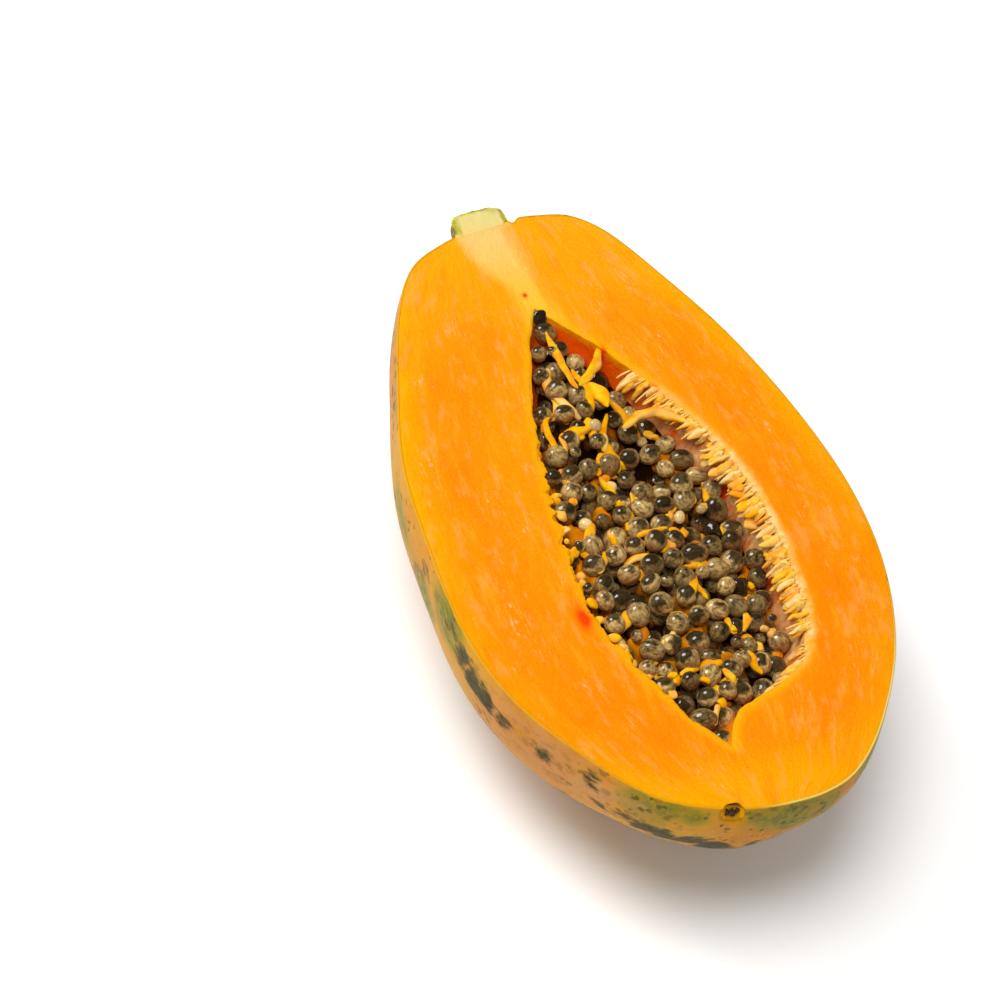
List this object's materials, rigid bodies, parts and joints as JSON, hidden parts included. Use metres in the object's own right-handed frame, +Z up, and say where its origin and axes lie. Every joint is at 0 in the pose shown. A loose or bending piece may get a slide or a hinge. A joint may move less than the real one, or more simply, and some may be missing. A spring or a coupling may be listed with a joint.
{
  "type": "papaya half",
  "caption": "Half of a ripe papaya cut lengthwise, lying on its skin with the cut face up, its cavity full of seeds.",
  "frame": {"origin": "centre of the bottom of the object's box, on the surface that the half lies on", "axes": "+Y along the fruit, towards the stem; +Z up, out of the cut face; +X across the cut face"},
  "size_m": [0.1048, 0.1794, 0.0553],
  "materials": {
    "flesh": "moist orange flesh, yellower under the skin",
    "skin": "waxy yellow-orange skin with green patches and freckles",
    "stem": "dull, pale cut wood and fibre",
    "seeds": "wet, wrinkled brown under a clear coat",
    "pulp": "moist yellow strands"
  },
  "bodies": {
    "root": {"fruit_half": "flesh", "stem_stub": "stem", "seeds": "seeds"}
  },
  "joints": []
}
